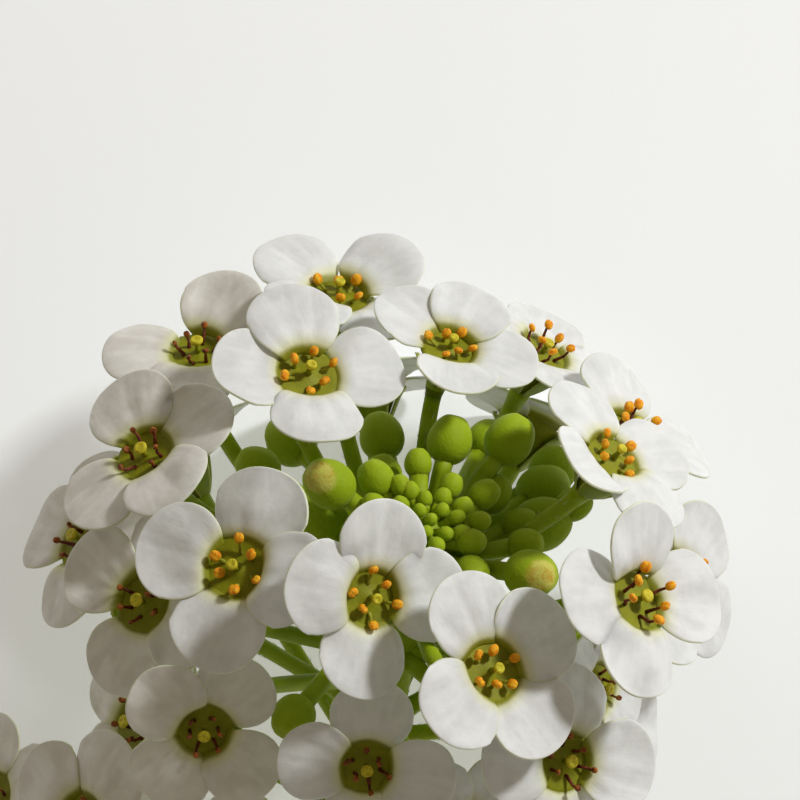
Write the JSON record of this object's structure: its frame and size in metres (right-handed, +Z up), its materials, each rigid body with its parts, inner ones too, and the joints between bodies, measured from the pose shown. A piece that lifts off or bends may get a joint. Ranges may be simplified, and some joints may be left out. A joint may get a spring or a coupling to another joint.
{
  "type": "sweet alyssum flower head",
  "caption": "Picked head of sweet alyssum: small white four-petalled flowers round a cluster of green buds, on a short curved stem, lying on its low petals and its stem.",
  "frame": {"origin": "on the surface that the sprig lies on, under the middle of its bounding box", "axes": "+Z up from the surface; +Y along the sprig, from the cut end of the stem towards the far edge of the head; +X to the right, seen from above with the stem towards the viewer"},
  "size_m": [0.0254, 0.035, 0.0194],
  "materials": {
    "stem_green": "fresh green plant stem, slightly waxy, with fine pale hairs",
    "bud_green": "closed buds in yellow-green sepals, satin",
    "petal_white": "thin white petal, matt with a soft sheen and faint lengthwise pleats",
    "heart_yellow_green": "olive-green middle with orange-yellow anthers and a yellow-green stigma"
  },
  "bodies": {
    "root": {"stem": "stem_green", "bud_cluster": "bud_green", "flower_01_petals": "petal_white", "flower_01_heart": "heart_yellow_green", "flower_02_petals": "petal_white", "flower_02_heart": "heart_yellow_green", "flower_03_petals": "petal_white", "flower_03_heart": "heart_yellow_green", "flower_04_petals": "petal_white", "flower_04_heart": "heart_yellow_green", "flower_05_petals": "petal_white", "flower_05_heart": "heart_yellow_green", "flower_06_petals": "petal_white", "flower_06_heart": "heart_yellow_green", "flower_07_petals": "petal_white", "flower_07_heart": "heart_yellow_green", "flower_08_petals": "petal_white", "flower_08_heart": "heart_yellow_green", "flower_09_petals": "petal_white", "flower_09_heart": "heart_yellow_green", "flower_10_petals": "petal_white", "flower_10_heart": "heart_yellow_green", "flower_11_petals": "petal_white", "flower_11_heart": "heart_yellow_green", "flower_12_petals": "petal_white", "flower_12_heart": "heart_yellow_green", "flower_13_petals": "petal_white", "flower_13_heart": "heart_yellow_green", "flower_14_petals": "petal_white", "flower_14_heart": "heart_yellow_green", "flower_15_petals": "petal_white", "flower_15_heart": "heart_yellow_green", "flower_16_petals": "petal_white", "flower_16_heart": "heart_yellow_green", "flower_17_petals": "petal_white", "flower_17_heart": "heart_yellow_green", "flower_18_petals": "petal_white", "flower_18_heart": "heart_yellow_green", "flower_19_petals": "petal_white", "flower_19_heart": "heart_yellow_green", "flower_20_petals": "petal_white", "flower_20_heart": "heart_yellow_green", "flower_21_petals": "petal_white", "flower_21_heart": "heart_yellow_green", "flower_22_petals": "petal_white", "flower_22_heart": "heart_yellow_green", "flower_23_petals": "petal_white", "flower_23_heart": "heart_yellow_green", "flower_24_petals": "petal_white", "flower_24_heart": "heart_yellow_green", "flower_25_petals": "petal_white", "flower_25_heart": "heart_yellow_green", "flower_26_petals": "petal_white", "flower_26_heart": "heart_yellow_green", "flower_27_petals": "petal_white", "flower_27_heart": "heart_yellow_green", "flower_28_petals": "petal_white", "flower_28_heart": "heart_yellow_green", "flower_29_petals": "petal_white", "flower_29_heart": "heart_yellow_green"}
  },
  "joints": []
}
